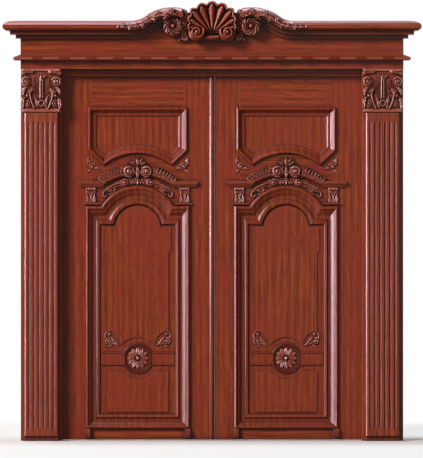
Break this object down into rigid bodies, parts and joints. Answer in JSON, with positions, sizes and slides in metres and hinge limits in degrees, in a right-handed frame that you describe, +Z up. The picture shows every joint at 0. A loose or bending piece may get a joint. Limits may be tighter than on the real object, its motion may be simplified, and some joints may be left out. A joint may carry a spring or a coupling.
{
  "type": "carved wooden double door",
  "caption": "Panelled wooden double door in a carved frame with fluted pilasters, a swan-neck crown and a shell crest; the leaves swing inwards on hinges.",
  "frame": {"origin": "middle of the whole object's box at floor level", "axes": "+X across the doorway to the viewer's right, +Y into the room behind the door, +Z up"},
  "size_m": [2.4, 0.293, 2.527],
  "materials": {
    "lacquered_wood": "satin lacquer",
    "hinge_brass": "satin",
    "pin_steel": "turned",
    "seal_rubber": "matte"
  },
  "bodies": {
    "frame": {"cornice_crown": "lacquered_wood", "crest_leaves": "lacquered_wood", "crest_rosettes": "lacquered_wood", "crest_shell": "lacquered_wood", "crown_sprays": "lacquered_wood", "door_seal": "seal_rubber", "frieze_board": "lacquered_wood", "head_jamb": "lacquered_wood", "header_ends": "lacquered_wood", "header_soffit": "lacquered_wood", "inner_casing": "lacquered_wood", "left_frame_hinges": "hinge_brass", "left_hinge_pins": "pin_steel", "left_jamb": "lacquered_wood", "left_pilaster_capital": "lacquered_wood", "left_pilaster_plate": "lacquered_wood", "left_pilaster_shaft": "lacquered_wood", "right_frame_hinges": "hinge_brass", "right_hinge_pins": "pin_steel", "right_jamb": "lacquered_wood", "right_pilaster_capital": "lacquered_wood", "right_pilaster_plate": "lacquered_wood", "right_pilaster_shaft": "lacquered_wood", "rope_bead": "lacquered_wood"},
    "left_leaf": {"left_hinge_stile": "lacquered_wood", "left_meeting_stile": "lacquered_wood", "left_top_rail": "lacquered_wood", "left_arch_rail": "lacquered_wood", "left_bottom_rail": "lacquered_wood", "left_upper_panel": "lacquered_wood", "left_lower_panel": "lacquered_wood", "left_upper_moulding": "lacquered_wood", "left_lower_moulding": "lacquered_wood", "left_hood_moulding": "lacquered_wood", "left_arch_carving": "lacquered_wood", "left_shelf_mouldings": "lacquered_wood", "left_small_capitals": "lacquered_wood", "left_corner_scrolls": "lacquered_wood", "left_rosette": "lacquered_wood", "left_panel_sprays": "lacquered_wood", "left_leaf_hinges": "hinge_brass", "meeting_bead": "lacquered_wood"},
    "right_leaf": {"right_hinge_stile": "lacquered_wood", "right_meeting_stile": "lacquered_wood", "right_top_rail": "lacquered_wood", "right_arch_rail": "lacquered_wood", "right_bottom_rail": "lacquered_wood", "right_upper_panel": "lacquered_wood", "right_lower_panel": "lacquered_wood", "right_upper_moulding": "lacquered_wood", "right_lower_moulding": "lacquered_wood", "right_hood_moulding": "lacquered_wood", "right_arch_carving": "lacquered_wood", "right_shelf_mouldings": "lacquered_wood", "right_small_capitals": "lacquered_wood", "right_corner_scrolls": "lacquered_wood", "right_rosette": "lacquered_wood", "right_panel_sprays": "lacquered_wood", "right_leaf_hinges": "hinge_brass", "meeting_seal": "seal_rubber"}
  },
  "joints": [
    {"name": "left_leaf_hinge", "type": "hinge", "parent": "frame", "child": "left_leaf", "pos_m": [-0.8755, 0.133, 0], "axis": [0, 0, 1], "range_deg": [0, 110]},
    {"name": "right_leaf_hinge", "type": "hinge", "parent": "frame", "child": "right_leaf", "pos_m": [0.8755, 0.133, 0], "axis": [0, 0, -1], "range_deg": [0, 110]}
  ]
}
